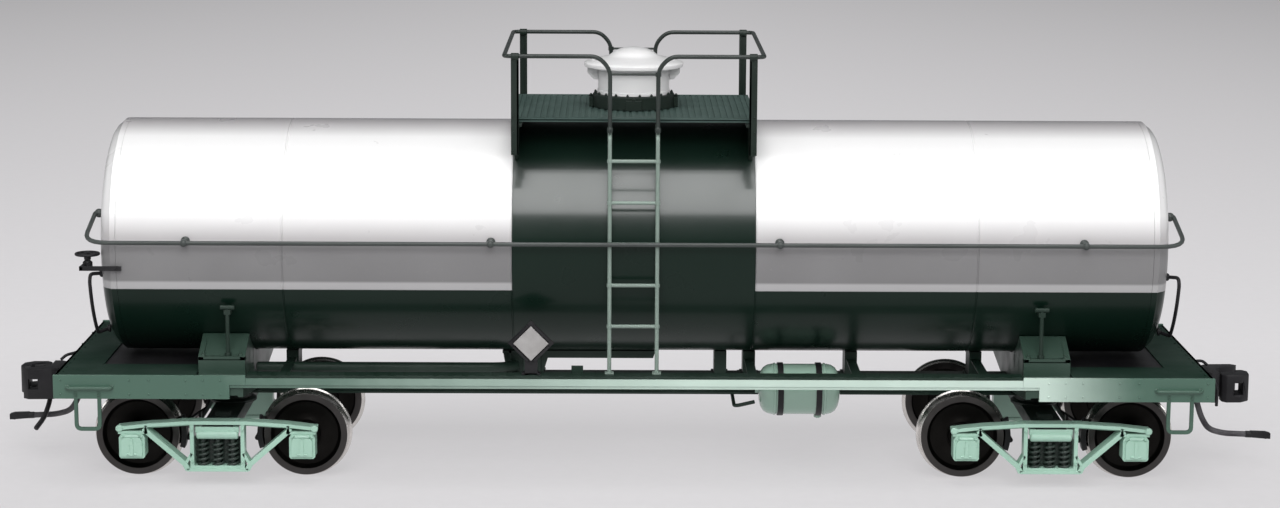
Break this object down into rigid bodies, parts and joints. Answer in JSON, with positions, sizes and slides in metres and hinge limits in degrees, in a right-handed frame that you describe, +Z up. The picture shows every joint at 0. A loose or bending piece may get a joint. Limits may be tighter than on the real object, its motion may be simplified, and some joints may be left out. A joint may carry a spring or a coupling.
{
  "type": "model tank wagon",
  "caption": "Scale model of an insulated pressure tank wagon on two swivelling trucks, with dome platform, ladders, rails and knuckle couplers.",
  "frame": {"origin": "under the middle of the wagon, on the ground plane through the bottoms of the wheel flanges", "axes": "+X along the wagon to its right end, +Y to its far side, +Z up"},
  "size_m": [0.2704, 0.06, 0.0897],
  "materials": {
    "tank_paint": "gloss dark green below the paint line and in the middle band, gloss white above it at both ends",
    "body_green": "gloss dark green paint",
    "pale_green": "satin green paint",
    "tank_white": "gloss white paint",
    "rail_paint": "satin grey-green paint on wire",
    "black_metal": "satin black",
    "wheel_nickel": "nickel-plated tread, darkened face",
    "axle_steel": "turned steel",
    "placard_grey": "matt grey board",
    "hose_black": "matt dark grey"
  },
  "bodies": {
    "wagon_body": {"centre_sill": "body_green", "tank_anchor": "body_green", "side_sill_near": "pale_green", "side_sill_far": "pale_green", "end_platform_left": "body_green", "end_platform_right": "body_green", "bolster_left": "pale_green", "bolster_right": "pale_green", "tank_barrel": "tank_paint", "tank_head_left": "tank_paint", "tank_head_right": "tank_paint", "air_reservoir": "body_green", "brake_cylinder": "body_green", "control_valve": "black_metal", "brake_wheel": "black_metal", "brake_bracket": "black_metal", "handrail_near": "rail_paint", "handrail_far": "rail_paint", "placard_near": "placard_grey", "placard_far": "placard_grey", "grab_iron_near_left": "black_metal", "grab_iron_near_right": "black_metal", "grab_iron_far_left": "black_metal", "grab_iron_far_right": "black_metal", "platform_deck": "rail_paint", "platform_support_left": "body_green", "platform_support_right": "body_green", "platform_rail_left": "rail_paint", "platform_rail_right": "rail_paint", "ladder_near": "rail_paint", "ladder_far": "rail_paint", "dome_base": "body_green", "dome_housing": "tank_white", "dome_lid": "tank_white", "draft_box_left": "body_green", "draft_box_right": "body_green", "air_hose_left": "hose_black", "air_hose_right": "hose_black"},
    "left_truck": {"truck_bolster_left": "pale_green", "side_frame_left_near": "pale_green", "side_frame_left_far": "pale_green"},
    "left_inner_wheelset": {"axle_left_inner": "axle_steel", "wheel_left_inner_near": "wheel_nickel", "wheel_left_inner_far": "wheel_nickel"},
    "left_outer_wheelset": {"axle_left_outer": "axle_steel", "wheel_left_outer_near": "wheel_nickel", "wheel_left_outer_far": "wheel_nickel"},
    "left_coupler": {"coupler_left": "black_metal"},
    "left_knuckle": {"knuckle_left": "black_metal"},
    "right_truck": {"truck_bolster_right": "pale_green", "side_frame_right_near": "pale_green", "side_frame_right_far": "pale_green"},
    "right_inner_wheelset": {"axle_right_inner": "axle_steel", "wheel_right_inner_near": "wheel_nickel", "wheel_right_inner_far": "wheel_nickel"},
    "right_outer_wheelset": {"axle_right_outer": "axle_steel", "wheel_right_outer_near": "wheel_nickel", "wheel_right_outer_far": "wheel_nickel"},
    "right_coupler": {"coupler_right": "black_metal"},
    "right_knuckle": {"knuckle_right": "black_metal"}
  },
  "joints": [
    {"name": "left_truck_swivel", "type": "hinge", "parent": "wagon_body", "child": "left_truck", "pos_m": [-0.0858, 0, 0.0149], "axis": [0, 0, 1], "range_deg": [-12, 12]},
    {"name": "left_inner_axle_spin", "type": "hinge", "parent": "left_truck", "child": "left_inner_wheelset", "pos_m": [-0.06834, 0, 0.00938], "axis": [0, 1, 0], "continuous": true},
    {"name": "left_outer_axle_spin", "type": "hinge", "parent": "left_truck", "child": "left_outer_wheelset", "pos_m": [-0.10326, 0, 0.00938], "axis": [0, 1, 0], "continuous": true},
    {"name": "left_coupler_swing", "type": "hinge", "parent": "wagon_body", "child": "left_coupler", "pos_m": [-0.112, 0, 0.01765], "axis": [0, 0, 1], "range_deg": [-12, 12], "stiffness_Nm_per_rad": 0.002},
    {"name": "left_knuckle_open", "type": "hinge", "parent": "left_coupler", "child": "left_knuckle", "pos_m": [-0.126, 0.0036, 0.01765], "axis": [0, 0, -1], "range_deg": [0, 25], "stiffness_Nm_per_rad": 0.001},
    {"name": "right_truck_swivel", "type": "hinge", "parent": "wagon_body", "child": "right_truck", "pos_m": [0.0858, 0, 0.0149], "axis": [0, 0, 1], "range_deg": [-12, 12]},
    {"name": "right_inner_axle_spin", "type": "hinge", "parent": "right_truck", "child": "right_inner_wheelset", "pos_m": [0.06834, 0, 0.00938], "axis": [0, 1, 0], "continuous": true},
    {"name": "right_outer_axle_spin", "type": "hinge", "parent": "right_truck", "child": "right_outer_wheelset", "pos_m": [0.10326, 0, 0.00938], "axis": [0, 1, 0], "continuous": true},
    {"name": "right_coupler_swing", "type": "hinge", "parent": "wagon_body", "child": "right_coupler", "pos_m": [0.112, 0, 0.01765], "axis": [0, 0, 1], "range_deg": [-12, 12], "stiffness_Nm_per_rad": 0.002},
    {"name": "right_knuckle_open", "type": "hinge", "parent": "right_coupler", "child": "right_knuckle", "pos_m": [0.126, -0.0036, 0.01765], "axis": [0, 0, -1], "range_deg": [0, 25], "stiffness_Nm_per_rad": 0.001}
  ]
}
